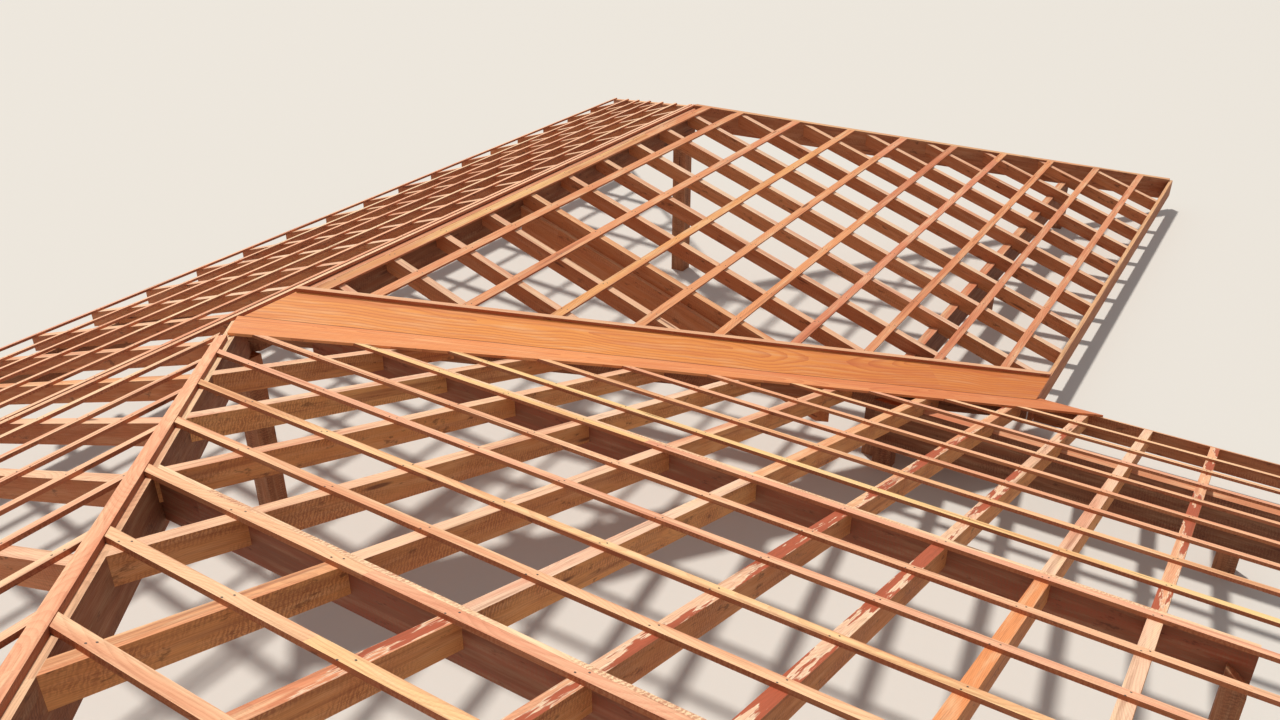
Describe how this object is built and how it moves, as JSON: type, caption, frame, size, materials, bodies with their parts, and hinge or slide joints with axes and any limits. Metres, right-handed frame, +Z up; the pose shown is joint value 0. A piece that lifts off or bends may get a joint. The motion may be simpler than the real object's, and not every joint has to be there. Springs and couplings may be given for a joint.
{
  "type": "timber roof frame",
  "caption": "Hip-and-valley roof frame of sawn hardwood: rafters, purlins, ridge, hip, valley boards, battens and fascias, not yet tiled.",
  "frame": {"origin": "middle of the foot of the post under the junction of ridge, hip and valley, at floor level", "axes": "+X along the near slope's battens, +Y along the wing's ridge away from the hip, +Z up"},
  "size_m": [6.925, 10.9396, 2.2399],
  "materials": {
    "sawn_beam": "rough sawn",
    "rafter": "rough sawn",
    "batten": "sawn",
    "planed_board": "planed",
    "board": "sawn"
  },
  "bodies": {
    "root": {"posts": "sawn_beam", "side_post": "sawn_beam", "under_rafter": "sawn_beam", "plate_wing": "sawn_beam", "plate_near": "sawn_beam", "plate_street": "sawn_beam", "ridge_beam": "sawn_beam", "hip_beam": "sawn_beam", "valley_beam": "sawn_beam", "purlins": "sawn_beam", "back_beam": "sawn_beam", "rafters_near": "rafter", "rafters_wing": "rafter", "rafters_street": "rafter", "battens_near": "batten", "battens_wing": "batten", "battens_street": "batten", "hip_strip": "batten", "valley_edge_strip": "batten", "valley_board_wing": "planed_board", "valley_board_near": "planed_board", "fascia_near": "board", "fascia_wing": "board", "rake_board_wing": "board", "rake_board_street": "board"}
  },
  "joints": []
}
